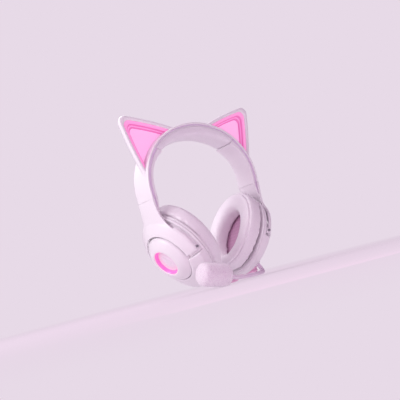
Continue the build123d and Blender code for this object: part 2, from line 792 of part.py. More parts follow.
with BuildPart() as cup_screws:
    head_z = 0.1 - plate_gap - plate_thickness
    with BuildSketch(cup_plane.offset(head_z)):
        with Locations(*cup_screws_up, *cup_screws_low):
            Circle(screw_head_radius)
    extrude(amount=screw_head_height)
    for places, top in ((cup_screws_up, screw_post_up), (cup_screws_low, screw_post_low)):
        with BuildSketch(cup_plane.offset(head_z + screw_head_height)):
            with Locations(*places):
                Circle(screw_radius)
        extrude(amount=top + 0.4)
save_pair(cup_screws, "cup_screws")

with BuildPart() as driver_frame:
    revolve(cup_profile([(driver_window, -plate_gap), (driver_radius, -plate_gap), (driver_radius, 4.4),
                         (9.2, 4.4), (9.2, 1.6), (driver_window, 1.6)]), axis=cup_axis)
save_pair(driver_frame, "driver_frame")

with BuildPart() as driver_magnet:
    revolve(cup_profile([(0, 1.8), (9.1, 1.8), (9.1, 9.2), (0, 9.2)]), axis=cup_axis)
save_pair(driver_magnet, "driver_magnet")

with BuildPart() as driver_diaphragm:
    revolve(cup_profile([(0, -1.4), (8.0, -0.6), (driver_window - 0.2, 0.6), (driver_window - 0.2, 1.2),
                         (8.0, 0.1), (0, -0.6)]), axis=cup_axis)
save_pair(driver_diaphragm, "driver_diaphragm")

with BuildPart() as speaker_cloth:
    extrude(cup_ellipse(cloth_back_z, cloth_half_depth, cloth_half_height, opening_center), amount=0.5)
save_pair(speaker_cloth, "speaker_cloth")

with BuildPart() as ear_cushion:
    extrude(cup_ellipse(cushion_face_z, cushion_half_depth, cushion_half_height, cushion_center),
            amount=cushion_back_z - cushion_face_z)
    extrude(cup_ellipse(cushion_face_z, opening_half_depth, opening_half_height, opening_center),
            amount=cushion_back_z - cushion_face_z, mode=Mode.SUBTRACT)
    face_edges = ear_cushion.edges().filter_by(GeomType.ELLIPSE).group_by(cup_axis)[0]
    fillet(face_edges, cushion_roundness)
save_pair(ear_cushion, "ear_cushion")
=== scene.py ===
import json
from math import cos, pi, radians, sin, sqrt

import bmesh
import bpy
import numpy as np
from mathutils import Matrix, Vector


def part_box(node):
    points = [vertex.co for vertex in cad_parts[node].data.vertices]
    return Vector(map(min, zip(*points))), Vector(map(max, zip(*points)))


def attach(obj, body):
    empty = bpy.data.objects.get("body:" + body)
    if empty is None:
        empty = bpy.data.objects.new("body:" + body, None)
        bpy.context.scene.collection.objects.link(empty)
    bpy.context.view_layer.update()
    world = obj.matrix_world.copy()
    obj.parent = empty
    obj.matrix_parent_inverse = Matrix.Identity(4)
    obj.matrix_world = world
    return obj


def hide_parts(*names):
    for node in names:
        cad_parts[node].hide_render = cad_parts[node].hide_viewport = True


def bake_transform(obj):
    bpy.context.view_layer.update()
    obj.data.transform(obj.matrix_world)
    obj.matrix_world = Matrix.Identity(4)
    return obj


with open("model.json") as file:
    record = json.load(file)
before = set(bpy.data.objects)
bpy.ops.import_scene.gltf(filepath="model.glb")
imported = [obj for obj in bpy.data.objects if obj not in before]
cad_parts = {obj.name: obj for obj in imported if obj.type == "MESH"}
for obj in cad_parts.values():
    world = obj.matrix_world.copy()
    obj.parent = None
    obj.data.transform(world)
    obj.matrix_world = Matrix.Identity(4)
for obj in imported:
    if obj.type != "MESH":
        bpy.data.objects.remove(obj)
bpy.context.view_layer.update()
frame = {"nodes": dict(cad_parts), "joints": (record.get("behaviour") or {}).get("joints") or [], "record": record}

# Looks of a cat-ear gaming headset around its CAD frame. Lengths are millimetres until a
# mesh is built; +X is the wearer's left, -Y the front, +Z up.
MM = 0.001
record = frame["record"]
joints = {joint["name"]: joint for joint in frame["joints"]}


# ---------------------------------------------------------------- places taken from the frame
def node_box(node):
    """Lowest and highest corner of a CAD node in millimetres."""
    low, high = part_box(node)
    return np.array(low) / MM, np.array(high) / MM


def joint_place(name):
    """A joint's place in millimetres."""
    return np.array(joints[name]["pos_m"]) / MM


band_low, band_high = node_box("headband_shell")
ARCH_Z = 120.0
ARCH_HALF_WIDTH = band_high[0]
ARCH_RISE = band_high[2] - ARCH_Z
BAND_END_Z = band_low[2]
BAND_HALF_DEPTH = band_high[1]
LEG_RISE = 96.6

CUP_OUT = np.array(joints["volume_turn"]["axis"])
CUP_UP = np.array([-CUP_OUT[2], 0.0, CUP_OUT[0]])
CUP_BACK = np.array([0.0, 1.0, 0.0])
PIVOT_HEIGHT = 6.8
CUP_ORIGIN = joint_place("left_cup_tilt") - CUP_OUT * PIVOT_HEIGHT
RING_DROP = -2.5
SIDES = {"left": 1.0, "right": -1.0}


def cup_points(back, up, out):
    """World points on the left cup from distances back, up and outward."""
    back, up, out = np.broadcast_arrays(back, up, out)
    return (CUP_ORIGIN + back[..., None] * CUP_BACK + up[..., None] * CUP_UP
            + out[..., None] * CUP_OUT)


def cup_coords(points):
    """Back, up and outward distances of world points, on the left cup."""
    away = points - CUP_ORIGIN
    return away @ CUP_BACK, away @ CUP_UP, away @ CUP_OUT


def to_side(points, side):
    """The left piece's points, mirrored for the right."""
    return points * np.array([SIDES[side], 1.0, 1.0])


# ---------------------------------------------------------------- node materials
class Surface:
    """Builds one procedural material around a Principled shader."""

    def __init__(self, name, color, roughness):
        self.material = bpy.data.materials.new(name)
        self.material.use_nodes = True
        self.tree = self.material.node_tree
        self.shader = self.tree.nodes["Principled BSDF"]
        self.color = (*color, 1.0)
        self.coords = self.tree.nodes.new("ShaderNodeTexCoord").outputs["Object"]
        self.color_out = None
        self.height_out = None
        self.shader.inputs["Base Color"].default_value = self.color
        self.shader.inputs["Roughness"].default_value = roughness
        self.roughness = roughness

    def link(self, source, target):
        self.tree.links.new(source, target)

    def noise(self, scale, detail=3.0, rough=0.55, stretch=None):
        node = self.tree.nodes.new("ShaderNodeTexNoise")
        node.inputs["Scale"].default_value = scale
        node.inputs["Detail"].default_value = detail
        node.inputs["Roughness"].default_value = rough
        self.link(self.stretched(stretch), node.inputs["Vector"])
        return node.outputs["Fac"]

    def cells(self, scale, feature="F1", stretch=None):
        node = self.tree.nodes.new("ShaderNodeTexVoronoi")
        node.feature = feature
        node.inputs["Scale"].default_value = scale
        self.link(self.stretched(stretch), node.inputs["Vector"])
        return node.outputs["Distance"]

    def wave(self, scale, direction, distortion=0.0):
        node = self.tree.nodes.new("ShaderNodeTexWave")
        node.bands_direction = direction
        node.inputs["Scale"].default_value = scale
        node.inputs["Distortion"].default_value = distortion
        self.link(self.coords, node.inputs["Vector"])
        return node.outputs["Fac"]

    def stretched(self, stretch):
        if stretch is None:
            return self.coords
        node = self.tree.nodes.new("ShaderNodeMapping")
        node.inputs["Scale"].default_value = stretch
        self.link(self.coords, node.inputs["Vector"])
        return node.outputs["Vector"]

    def remap(self, value, low, high, new_low=0.0, new_high=1.0):
        node = self.tree.nodes.new("ShaderNodeMapRange")
        for index, number in enumerate((low, high, new_low, new_high)):
            node.inputs[index + 1].default_value = number
        self.link(value, node.inputs["Value"])
        return node.outputs["Result"]

    def combine(self, operation, first, second):
        node = self.tree.nodes.new("ShaderNodeMath")
        node.operation = operation
        for index, value in enumerate((first, second)):
            if isinstance(value, (int, float)):
                node.inputs[index].default_value = value
            else:
                self.link(value, node.inputs[index])
        return node.outputs["Value"]

    def tint(self, factor, color):
        """Mix another colour over the base where factor is high."""
        node = self.tree.nodes.new("ShaderNodeMix")
        node.data_type = "RGBA"
        if self.color_out is None:
            node.inputs["A"].default_value = self.color
        else:
            self.link(self.color_out, node.inputs["A"])
        node.inputs["B"].default_value = (*color, 1.0)
        self.link(factor, node.inputs["Factor"])
        self.color_out = node.outputs["Result"]
        self.link(self.color_out, self.shader.inputs["Base Color"])

    def vary_roughness(self, value, spread):
        low, high = self.roughness - spread, self.roughness + spread
        self.link(self.remap(value, 0.3, 0.7, low, high), self.shader.inputs["Roughness"])

    def bump(self, height, distance, strength=1.0):
        node = self.tree.nodes.new("ShaderNodeBump")
        node.inputs["Strength"].default_value = strength
        node.inputs["Distance"].default_value = distance * MM
        self.link(height, node.inputs["Height"])
        if self.height_out is not None:
            self.link(self.height_out, node.inputs["Normal"])
        self.height_out = node.outputs["Normal"]
        self.link(self.height_out, self.shader.inputs["Normal"])

    def paint_edge_highlight(self, color, amount=0.6):
        """Painted highlight: lighten convex edges, broken up by noise."""
        geometry = self.tree.nodes.new("ShaderNodeNewGeometry")
        edges = self.remap(geometry.outputs["Pointiness"], 0.51, 0.56, 0.0, amount)
        self.tint(self.combine("MULTIPLY", edges, self.noise(180.0)), color)

    def set(self, **inputs):
        for name, value in inputs.items():
            self.shader.inputs[name.replace("_", " ")].default_value = value
        return self

    def glow(self, color, strength):
        self.shader.inputs["Emission Color"].default_value = (*color, 1.0)
        self.shader.inputs["Emission Strength"].default_value = strength


def moulded(name, color, shade, roughness, grain=900.0, texture=0.02):
    """Satin injection-moulded plastic with a fine grain and slightly uneven gloss."""
    look = Surface(name, color, roughness)
    look.tint(look.remap(look.noise(14.0), 0.35, 0.65, 0.0, 0.55), shade)
    # painted highlight along the convex edges of the moulded plastic
    look.paint_edge_highlight((0.97, 0.95, 0.98), 0.35)
    look.vary_roughness(look.noise(60.0, 4.0), 0.05)
    look.bump(look.noise(grain, 2.0), texture, 0.6)
    look.bump(look.noise(35.0), 0.06, 0.25)
    return look.set(Specular_IOR_Level=0.45, Coat_Weight=0.12, Coat_Roughness=0.25).material


def leather(name, color, shade, crease):
    """Protein leatherette with pebble grain and soft creases."""
    look = Surface(name, color, 0.46)
    look.tint(look.remap(look.noise(22.0), 0.35, 0.7, 0.0, 0.6), shade)
    grain = look.cells(850.0)
    look.tint(look.remap(grain, 0.55, 0.95, 0.0, 0.35), crease)
    look.vary_roughness(look.noise(300.0), 0.07)
    look.bump(grain, 0.05, 0.6)
    look.bump(look.noise(90.0, 5.0, 0.6, (1.0, 1.0, 2.4)), 0.35, 0.35)
    return look.set(Sheen_Weight=0.25, Sheen_Roughness=0.4, Specular_IOR_Level=0.4).material


def knit(name, color, shade, thread_scale, depth=0.12):
    """Two crossing sets of threads, with a soft sheen."""
    look = Surface(name, color, 0.82)
    warp = look.wave(thread_scale, "X", 0.6)
    weft = look.wave(thread_scale * 0.8, "Z", 0.6)
    threads = look.combine("MULTIPLY", warp, weft)
    look.tint(look.remap(threads, 0.0, 0.6, 0.55, 0.0), shade)
    look.tint(look.remap(look.noise(30.0), 0.4, 0.7, 0.0, 0.35), shade)
    look.vary_roughness(look.noise(250.0), 0.08)
    look.bump(threads, depth, 0.7)
    return look.set(Sheen_Weight=0.5, Sheen_Roughness=0.5).material


def foam(name, color, pore):
    """Open-cell foam: dark pores between soft cells."""
    look = Surface(name, color, 0.95)
    pores = look.cells(1100.0)
    look.tint(look.remap(pores, 0.45, 0.9, 0.0, 0.6), pore)
    look.tint(look.remap(look.noise(26.0), 0.4, 0.7, 0.0, 0.2), pore)
    look.vary_roughness(look.noise(300.0), 0.04)
    look.bump(look.combine("SUBTRACT", 1.0, pores), 0.3, 0.7)
    look.bump(look.noise(1400.0, 4.0), 0.12, 0.6)
    return look.set(Sheen_Weight=0.6, Sheen_Roughness=0.7).material


def metal(name, color, roughness, stretch):
    """Brushed or plated metal with fine drawn lines."""
    look = Surface(name, color, roughness)
    lines = look.noise(700.0, 4.0, 0.7, stretch)
    look.tint(look.remap(lines, 0.35, 0.7, 0.0, 0.35), tuple(part * 0.7 for part in color))
    look.vary_roughness(lines, 0.08)
    look.bump(lines, 0.01, 0.4)
    return look.set(Metallic=1.0).material


def lit(name, color, glow, strength):
    """Translucent plastic lit from behind, a little uneven like a diffuser."""
    look = Surface(name, color, 0.34)
    look.tint(look.remap(look.noise(28.0), 0.35, 0.7, 0.0, 0.35), glow)
    look.vary_roughness(look.noise(80.0), 0.05)
    look.bump(look.noise(600.0, 2.0), 0.02, 0.5)
    look.glow(glow, strength)
    return look.set(Coat_Weight=0.3, Coat_Roughness=0.2).material


def rubber(name, color, shade, ridge_scale=None):
    """Soft moulded rubber with a dusty grain."""
    look = Surface(name, color, 0.62)
    look.tint(look.remap(look.noise(40.0), 0.35, 0.7, 0.0, 0.6), shade)
    look.vary_roughness(look.noise(200.0), 0.07)
    look.bump(look.noise(1100.0, 3.0), 0.03, 0.6)
    if ridge_scale:
        look.bump(look.cells(ridge_scale, "F1", (1.0, 1.0, 1.6)), 0.12, 0.5)
    return look.set(Sheen_Weight=0.15, Specular_IOR_Level=0.35).material


def board(name, color, trace):
    """Solder mask with raised copper traces under it."""
    look = Surface(name, color, 0.35)
    lines = look.cells(260.0, "DISTANCE_TO_EDGE")
    look.tint(look.remap(lines, 0.0, 0.05, 0.8, 0.0), trace)
    look.vary_roughness(look.noise(300.0), 0.06)
    look.bump(lines, 0.05, 0.5)
    return look.material


materials = {
    "shell_white": moulded("shell_white", (0.90, 0.88, 0.90), (0.86, 0.83, 0.87), 0.34),
    "liner_white": moulded("liner_white", (0.88, 0.85, 0.88), (0.83, 0.78, 0.84), 0.5, 1300.0, 0.04),
    # lavender trim: partly the part's own tint, partly painted shade of the groove between shell and liner
    "trim_lavender": moulded("trim_lavender", (0.75, 0.60, 0.79), (0.67, 0.50, 0.73), 0.48, 1200.0, 0.03),
    "spring_steel": metal("spring_steel", (0.62, 0.63, 0.66), 0.3, (1.0, 12.0, 1.0)),
    "screw_steel": metal("screw_steel", (0.40, 0.40, 0.43), 0.36, (4.0, 4.0, 1.0)),
    "leatherette": leather("leatherette", (0.90, 0.88, 0.90), (0.85, 0.80, 0.86), (0.76, 0.68, 0.78)),
    "pad_cover": leather("pad_cover", (0.87, 0.85, 0.88), (0.81, 0.76, 0.83), (0.70, 0.62, 0.73)),
    "pink_glow": lit("pink_glow", (0.95, 0.42, 0.68), (1.0, 0.20, 0.50), 0.5),
    "circuit": board("circuit", (0.05, 0.22, 0.12), (0.35, 0.45, 0.20)),
    "disc_white": moulded("disc_white", (0.86, 0.80, 0.87), (0.80, 0.70, 0.82), 0.26),
    "driver_grey": moulded("driver_grey", (0.12, 0.12, 0.14), (0.08, 0.08, 0.10), 0.5),
    "magnet_metal": metal("magnet_metal", (0.7, 0.7, 0.72), 0.2, (1.0, 1.0, 6.0)),
    "diaphragm_film": moulded("diaphragm_film", (0.6, 0.58, 0.66), (0.5, 0.48, 0.58), 0.25),
    "speaker_cloth": knit("speaker_cloth", (0.72, 0.42, 0.60), (0.42, 0.20, 0.36), 380.0, 0.2),
    "foam": foam("foam", (0.90, 0.86, 0.90), (0.68, 0.54, 0.68)),
    "boom_rubber": rubber("boom_rubber", (0.84, 0.74, 0.84), (0.78, 0.62, 0.78)),
    "pink_rubber": rubber("pink_rubber", (0.88, 0.42, 0.66), (0.78, 0.30, 0.56)),
    "cable_pink": rubber("cable_pink", (0.88, 0.52, 0.72), (0.80, 0.40, 0.64), 900.0),
    "tie_fabric": knit("tie_fabric", (0.82, 0.70, 0.84), (0.62, 0.48, 0.68), 500.0),
    "contact_metal": metal("contact_metal", (0.78, 0.78, 0.80), 0.22, (1.0, 8.0, 1.0)),
}
# Three copies of the ear's lit plastic: the step copy darkest, the slope copy darker than the face; the difference
# is painted shade
ear_glow_step_shaded = lit("ear_glow_step_shaded", (0.78, 0.22, 0.52), (0.85, 0.18, 0.52), 0.22)
ear_glow_slope_half_shaded = lit("ear_glow_slope_half_shaded", (0.92, 0.38, 0.68), (1.0, 0.32, 0.66), 0.32)
ear_glow_face_lit = lit("ear_glow_face_lit", (0.94, 0.54, 0.79), (1.0, 0.48, 0.80), 0.38)
ring_glow = lit("ring_glow", (0.95, 0.20, 0.50), (1.0, 0.10, 0.40), 0.7)


def dress_cad_nodes():
    """Give each CAD node the node material of its slot."""
    for row in record["subparts"]:
        node = frame["nodes"][row["node"]]
        if not node.material_slots:
            node.data.materials.append(None)
        for material_slot in node.material_slots:
            material_slot.material = materials[row["material_slot"]]


# ---------------------------------------------------------------- mesh helpers
def new_piece(name, points, faces, looks):
    """Mesh object from points in millimetres, with outward normals and smooth shading."""
    mesh = bpy.data.meshes.new(name)
    mesh.from_pydata([tuple(point) for point in np.asarray(points) * MM], [], faces)
    for look in looks:
        mesh.materials.append(look)
    piece = bpy.data.objects.new(name, mesh)
    bpy.context.scene.collection.objects.link(piece)
    tidy_mesh(piece)
    return piece


def tidy_mesh(piece):
    """Merge doubled points, turn the faces outward and shade them smooth."""
    work = bmesh.new()
    work.from_mesh(piece.data)
    bmesh.ops.remove_doubles(work, verts=work.verts, dist=0.005 * MM)
    bmesh.ops.recalc_face_normals(work, faces=work.faces)
    work.to_mesh(piece.data)
    work.free()
    piece.data.polygons.foreach_set("use_smooth", [True] * len(piece.data.polygons))


def settle(piece, body, slot, *nodes):
    """Put a finished piece on its body, in place of the CAD nodes it stands for."""
    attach(piece, body)
    if nodes:
        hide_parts(*nodes)
    return piece


def bake_modifiers(piece):
    """Apply every modifier to the mesh."""
    bpy.context.view_layer.update()
    graph = bpy.context.evaluated_depsgraph_get()
    mesh = bpy.data.meshes.new_from_object(piece.evaluated_get(graph), depsgraph=graph)
    piece.modifiers.clear()
    piece.data = mesh
    mesh.polygons.foreach_set("use_smooth", [True] * len(mesh.polygons))


def vertex_array(piece):
    """Vertex places in millimetres."""
    places = np.empty(len(piece.data.vertices) * 3)
    piece.data.vertices.foreach_get("co", places)
    return places.reshape(-1, 3) / MM


def set_vertices(piece, points):
    """Move the vertices to places in millimetres."""
    piece.data.vertices.foreach_set("co", (np.asarray(points) * MM).ravel())
    piece.data.update()


def grid(rows, close_rows=False, fill_ends=False):
    """Points and faces of a grid whose rows are closed loops, all of one length."""
    rows = np.asarray(rows, float)
    count, width = rows.shape[:2]
    faces = []
    for i in range(count if close_rows else count - 1):
        below = ((i + 1) % count) * width
        for j in range(width):
            after = (j + 1) % width
            faces.append((i * width + j, i * width + after, below + after, below + j))
    if fill_ends:
        faces.append(tuple(range(width)))
        faces.append(tuple((count - 1) * width + j for j in reversed(range(width))))
    return rows.reshape(-1, 3), faces


def paint_rows(piece, bands, width):
    """Give runs of grid rows their own material; bands is (first row, last row, slot)."""
    for index, face in enumerate(piece.data.polygons):
        row = index // width
        for first, last, slot in bands:
            if first <= row < last:
                face.material_index = slot


def rounded_loop(low, high, half_width, radius, steps=5, crown=0.0):
    """Closed (inset, sideways) outline of a rounded bar; crown lowers its outer edges."""
    loop = []
    corners = ((high, half_width, 0), (low, half_width, 90), (low, -half_width, 180),
               (high, -half_width, 270))
    for edge, across, turn in corners:
        center = (edge - radius if edge == high else edge + radius,
                  across - radius if across > 0 else across + radius)
        for step in range(steps + 1):
            angle = radians(turn + 90.0 * step / steps)
            place = (center[0] + radius * cos(angle), center[1] + radius * sin(angle))
            loop.append(place)
        if edge == low and across > 0:
            for share in np.linspace(0.85, -0.85, 15):
                loop.append((low, share * (half_width - radius)))
    return [(inset + crown * (side / half_width) ** 2 * (inset < (low + high) / 2), side)
            for inset, side in loop]


def lathe(profile, back, up, steps=96):
    """Rows of a turned shape on the left cup; profile is (radius, height) pairs."""
    angles = np.linspace(0.0, 2.0 * pi, steps, endpoint=False)
    return [cup_points(back + r * np.sin(angles), up + r * np.cos(angles), z) for r, z in profile]


def smooth_profile(points, steps=6):
    """Catmull-Rom curve through profile points."""
    points = np.asarray(points, float)
    padded = np.vstack([2 * points[0] - points[1], points, 2 * points[-1] - points[-2]])
    out = []
    for a, b, c, d in zip(padded, padded[1:], padded[2:], padded[3:]):
        for t in np.linspace(0.0, 1.0, steps, endpoint=False):
            out.append(0.5 * (2 * b + (c - a) * t + (2 * a - 5 * b + 4 * c - d) * t ** 2
                              + (3 * b - a - 3 * c + d) * t ** 3))
    out.append(points[-1])
    return np.array(out)


def groove(distance, depth, width):
    """Depth of a soft groove at a distance from its middle."""
    return depth * np.exp(-(distance / width) ** 2)


def tube(path, radii, sides=20):
    """Rows of a round tube along a path, with a radius for each point."""
    path = np.asarray(path, float)
    radii = np.broadcast_to(radii, len(path))
    tangents = np.gradient(path, axis=0)
    tangents /= np.linalg.norm(tangents, axis=1)[:, None]
    across = np.cross(tangents[0], [0.0, 0.0, 1.0])
    rows = []
    angles = np.linspace(0.0, 2.0 * pi, sides, endpoint=False)
    for place, tangent, radius in zip(path, tangents, radii):
        across = across - tangent * (across @ tangent)
        across /= np.linalg.norm(across)
        upward = np.cross(tangent, across)
        ring = np.cos(angles)[:, None] * across + np.sin(angles)[:, None] * upward
        rows.append(place + radius * ring)
    return rows


def even_copy(node, name, voxel):
    """Voxel remesh of a CAD node, ready to be applied."""
    piece = bpy.data.objects.new(name, frame["nodes"][node].data.copy())
    bpy.context.scene.collection.objects.link(piece)
    even = piece.modifiers.new("Even", "REMESH")
    even.mode = "VOXEL"
    even.voxel_size = voxel * MM
    return piece


def soften(node, name, look, voxel, passes):
    """Finer copy of a CAD shell with its edges rounded over."""
    piece = even_copy(node, name, voxel)
    round_over = piece.modifiers.new("Round", "SMOOTH")
    round_over.factor = 0.5
    round_over.iterations = passes
    bake_modifiers(piece)
    piece.data.materials.clear()
    piece.data.materials.append(look)
    return piece


# ---------------------------------------------------------------- soft goods
CLOTH_FRAMES = 20


def inflate(piece, pressure, cap):
    """Cloth simulation with inside pressure; no point moves more than cap millimetres."""
    scene = bpy.context.scene
    rest = vertex_array(piece)
    cloth = piece.modifiers.new("Cloth", "CLOTH")
    cloth.settings.quality = 6
    cloth.settings.mass = 0.25
    cloth.settings.tension_stiffness = 18.0
    cloth.settings.compression_stiffness = 12.0
    cloth.settings.bending_stiffness = 0.6
    cloth.settings.use_pressure = True
    cloth.settings.uniform_pressure_force = pressure
    cloth.settings.effector_weights.gravity = 0.0
    cloth.point_cache.frame_start = 1
    cloth.point_cache.frame_end = CLOTH_FRAMES
    for number in range(1, CLOTH_FRAMES + 1):
        scene.frame_set(number)
    graph = bpy.context.evaluated_depsgraph_get()
    mesh = bpy.data.meshes.new_from_object(piece.evaluated_get(graph), depsgraph=graph)
    piece.modifiers.clear()
    piece.data = mesh
    scene.frame_set(1)
    travel = vertex_array(piece) - rest
    length = np.linalg.norm(travel, axis=1)[:, None]
    set_vertices(piece, rest + travel * np.minimum(1.0, cap / np.maximum(length, 1e-9)))


def refine(piece, levels):
    """Subdivide a finished soft piece."""
    finer = piece.modifiers.new("Finer", "SUBSURF")
    finer.levels = levels
    finer.render_levels = levels
    bake_modifiers(piece)


# ---------------------------------------------------------------- headband
PAD_HALF_WIDTH = 72.5
PAD_RISE = 52.8
PAD_SPAN = 52.0
PAD_MERGE = 2.0
LINER_COVER = 0.3
LINER_INNER = 7.8
LEG_END_TURN = 100.5
PAD_TOP_INSET = 2.9
PAD_SHRINK = 0.5
PAD_PRESSURE = 2.5
PAD_TRAVEL = 1.2
WELT_DEPTH = 0.55
WELT_WIDTH = 1.6
SHELL_THICKNESS = 2.6
LINER_START = 5.4
BAND_STEPS = 170


def arch_radius(turn, inset):
    """Distance from the arch centre, turn in degrees from straight up."""
    rise = ARCH_RISE - inset if abs(turn) <= 90.0 else LEG_RISE
    across, upward = sin(radians(turn)), cos(radians(turn))
    return 1.0 / sqrt((across / (ARCH_HALF_WIDTH - inset)) ** 2 + (upward / rise) ** 2)


def inner_radius(turn):
    """Distance of the lowest surface: the pad's curve above, the liner's down the legs."""
    liner = arch_radius(turn, LINER_INNER)
    across, upward = sin(radians(turn)), cos(radians(turn))
    pad = 1.0 / sqrt((across / PAD_HALF_WIDTH) ** 2 + (upward / PAD_RISE) ** 2)
    if abs(turn) > 85.0:
        return liner - LINER_COVER
    near = max(1.0 - abs(liner - pad) / PAD_MERGE, 0.0)
    return min(liner, pad) - near ** 2 * PAD_MERGE / 4 - LINER_COVER


def band_row(turn, near, far, loop):
    """Section of a band layer at one turn; loop holds (share between near and far, sideways)."""
    row = []
    for share, sideways in loop:
        reach = near + (far - near) * share
        z = ARCH_Z + reach * cos(radians(turn))
        row.append((reach * sin(radians(turn)), sideways, max(z, BAND_END_Z)))
    return row


def bar_loop(thickness, half_width, radius, crown=0.0):
    """Rounded section as shares of the thickness."""
    loop = rounded_loop(0.0, thickness, half_width, radius, crown=crown)
    return [(inset / thickness, sideways) for inset, sideways in loop]


def build_shell():
    """Outer shell of the headband, slightly crowned across."""
    loop = bar_loop(SHELL_THICKNESS, BAND_HALF_DEPTH, 1.15, 0.5)
    turns = np.linspace(-LEG_END_TURN, LEG_END_TURN, BAND_STEPS)
    rows = [band_row(turn, arch_radius(turn, 0.0), arch_radius(turn, SHELL_THICKNESS), loop)
            for turn in turns]
    piece = new_piece("headband_outer", *grid(rows, fill_ends=True), [materials["shell_white"]])
    settle(piece, "headband", "shell_white", "headband_shell")


def build_liner():
    """Inner skin of the band; it thickens where it meets both ends of the pad."""
    rows = []
    seam = PAD_SPAN + 0.25
    turns = sorted([*np.linspace(-LEG_END_TURN, LEG_END_TURN, BAND_STEPS),
                    -seam, seam, 0.1 - seam, seam - 0.1])
    for turn in turns:
        near = arch_radius(turn, LINER_START)
        far = inner_radius(turn) if abs(turn) >= seam - 0.01 else arch_radius(turn, 7.0)
        rows.append(band_row(turn, near, far, bar_loop(near - far, BAND_HALF_DEPTH - 0.3, 0.95)))
    piece = new_piece("headband_inner", *grid(rows, fill_ends=True), [materials["liner_white"]])
    settle(piece, "headband", "liner_white", "headband_liner")


def pad_section():
    """Full rounded section of the pad, squarer against the shell, fuller underneath."""
    loop = []
    for angle in np.linspace(0.0, 2.0 * pi, 56, endpoint=False):
        power = 0.62 if cos(angle) > 0 else 0.34
        deep = np.sign(cos(angle)) * abs(cos(angle)) ** power
        wide = np.sign(sin(angle)) * abs(sin(angle)) ** 0.5
        loop.append((0.5 + 0.5 * deep, (BAND_HALF_DEPTH - 0.25) * wide))
    return loop


def build_pad():
    """Pad wrapped round the band under the shell: inflated, then its end welts drawn in."""
    loop = pad_section()
    turns = np.linspace(-PAD_SPAN, PAD_SPAN, 72)
    rows = [band_row(turn, arch_radius(turn, PAD_TOP_INSET), inner_radius(turn) + PAD_SHRINK, loop)
            for turn in turns]
    pad = new_piece("top_pad", *grid(rows, fill_ends=True), [materials["pad_cover"]])
    inflate(pad, PAD_PRESSURE, PAD_TRAVEL)
    points = vertex_array(pad)
    away = points - np.array([0.0, 0.0, ARCH_Z])
    turn = np.degrees(np.arctan2(away[:, 0], away[:, 2]))
    reach = np.linalg.norm(away[:, [0, 2]], axis=1)
    welt = groove(np.radians(PAD_SPAN - np.abs(turn)) * reach, WELT_DEPTH, WELT_WIDTH)
    middle = np.array([(arch_radius(t, PAD_TOP_INSET) + inner_radius(t)) / 2 for t in turn])
    welt[reach > middle] = 0.0
    outward = away * np.array([1.0, 0.0, 1.0]) / reach[:, None]
    points += outward * welt[:, None]
    points[:, 1] -= np.sign(points[:, 1]) * welt * 0.7
    set_vertices(pad, points)
    refine(pad, 1)
    settle(pad, "headband", "pad_cover", "top_cushion")


# ---------------------------------------------------------------- cat ears
EAR_ANCHOR = np.array([51.3, 162.2])
EAR_REACH = 29.8
EAR_FRONT = -11.0
EAR_TIP = np.array([93.3, 205.0])
EAR_OUTER_BASE = np.array([73.9, 130.6])
EAR_INNER_BASE = np.array([21.5, 184.8])
EAR_BASE_MIDDLE = np.array([53.6, 163.4])
EAR_TIP_ROUNDING = 9.6
EAR_TIP_WEIGHT = 0.497


def bowed(start, end, bow, count):
    """Points from start to end on a shallow arc that bows to the left of the way."""
    t = np.linspace(0.0, 1.0, count)[:, None]
    way = end - start
    left = np.array([-way[1], way[0]]) / np.linalg.norm(way)
    return start + t * way + left * bow * 4 * t * (1 - t)


def ear_outline():
    """Rounded triangle in the ear's front plane; its base lies inside the headband."""
    outer = bowed(EAR_OUTER_BASE, EAR_TIP, -1.6, 60)
    inner = bowed(EAR_TIP, EAR_INNER_BASE, -1.8, 60)
    outer = outer[np.linalg.norm(outer - EAR_TIP, axis=1) > EAR_TIP_ROUNDING]
    inner = inner[np.linalg.norm(inner - EAR_TIP, axis=1) > EAR_TIP_ROUNDING]
    t = np.linspace(0.0, 1.0, 16)[1:-1, None]
    weight = (1 - t) ** 2 + 2 * EAR_TIP_WEIGHT * t * (1 - t) + t ** 2
    tip = ((1 - t) ** 2 * outer[-1] + 2 * EAR_TIP_WEIGHT * t * (1 - t) * EAR_TIP
           + t ** 2 * inner[0]) / weight
    chord = (EAR_INNER_BASE + EAR_OUTER_BASE) / 2
    t = np.linspace(0.0, 1.0, 32)[1:-1, None]
    base = (EAR_INNER_BASE + t * (EAR_OUTER_BASE - EAR_INNER_BASE)
            + (EAR_BASE_MIDDLE - chord) * 4 * t * (1 - t))
    return np.vstack([outer, tip, inner, base])


def ear_rows(side, profile):
    """Loops of the ear at (depth, inset) places."""
    outline = ear_outline() - EAR_ANCHOR
    rows = []
    for depth, inset in profile:
        flat = EAR_ANCHOR + outline * max(1 - inset / EAR_REACH, 0.0)
        points = np.column_stack([flat[:, 0], np.full(len(flat), EAR_FRONT + depth), flat[:, 1]])
        rows.append(to_side(points, side))
    return rows


EAR_SHELL_PROFILE = [(4.5, 5.0), (2.8, 4.4), (1.2, 3.7), (0.5, 3.2), (0.05, 2.5), (-0.05, 1.6),
                     (0.1, 0.8), (0.5, 0.3), (1.2, 0.0), (2.6, -0.05), (4.0, 0.15), (6.0, 0.9),
                     (8.5, 2.1), (11.0, 3.6), (13.0, 5.2), (14.4, 7.0), (15.2, 9.5), (15.5, 14.0),
                     (15.6, 29.8)]
EAR_GLOW_PROFILE = [(1.7, 3.2), (1.4, 3.5), (1.6, 4.0), (2.2, 4.7), (2.5, 5.3), (2.6, 6.0), (2.7, 6.6),
                    (3.0, 6.9), (4.4, 7.5), (4.7, 7.7), (4.8, 8.1), (4.9, 8.7), (5.2, 9.0), (6.3, 9.6),
                    (6.5, 10.0), (6.5, 10.6), (6.35, 15.0), (6.2, 22.0), (6.2, 29.8)]
# Rows of the ear panel and their copy: 0 steps, 1 slopes, 2 face; copies 0 and 1 paint shade on steps and slopes
EAR_GLOW_BANDS = [(0, 2, 0), (2, 6, 1), (6, 9, 0), (9, 11, 1), (11, 14, 0), (14, 18, 2)]


